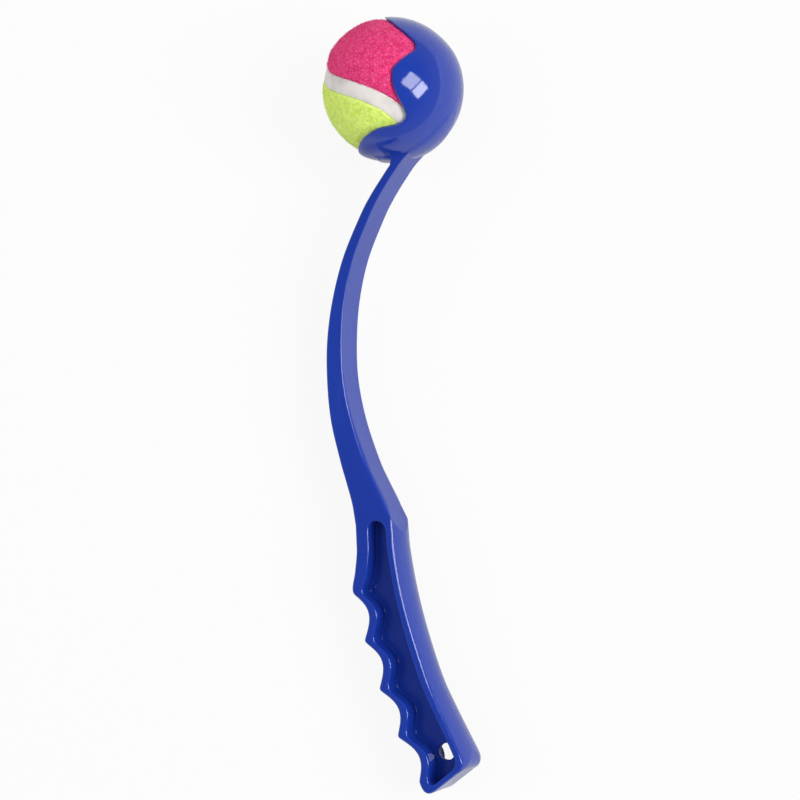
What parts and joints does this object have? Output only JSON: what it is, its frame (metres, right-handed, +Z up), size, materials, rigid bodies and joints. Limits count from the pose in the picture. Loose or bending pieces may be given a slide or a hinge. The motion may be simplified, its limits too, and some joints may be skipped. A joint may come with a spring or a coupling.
{
  "type": "dog ball launcher",
  "caption": "One-piece moulded plastic ball launcher with a lobed ball cup, bowed shaft and pocketed finger-grooved handle, holding a two-colour felt ball.",
  "frame": {"origin": "on the table under the middle of the whole object's box, with the launcher lying on its side, where the ball and two finger ridges touch the table", "axes": "+X along the launcher from the handle's end to the ball, +Y towards the finger side, where the ball's bare side faces, +Z up from the table"},
  "size_m": [0.3638, 0.0742, 0.0655],
  "materials": {
    "blue_plastic": "glossy bright blue moulded polypropylene",
    "ball_rubber": "dull grey moulded rubber",
    "ball_cement": "cured tan rubber cement",
    "pink_felt": "short fuzzy pink felt",
    "lime_felt": "short fuzzy lime green felt",
    "seam_rubber": "smooth off-white rubber seam"
  },
  "bodies": {
    "launcher": {"launcher": "blue_plastic"},
    "ball": {"ball_half_shell_a": "ball_rubber", "ball_half_shell_b": "ball_rubber", "ball_cement_ring": "ball_cement", "felt_panel_pink": "pink_felt", "felt_panel_lime": "lime_felt", "ball_seam_band": "seam_rubber"}
  },
  "joints": [
    {"name": "ball_release", "type": "slide", "parent": "launcher", "child": "ball", "axis": [0.2226, 0.9461, -0.2354], "range_m": [0, 0.07]}
  ]
}
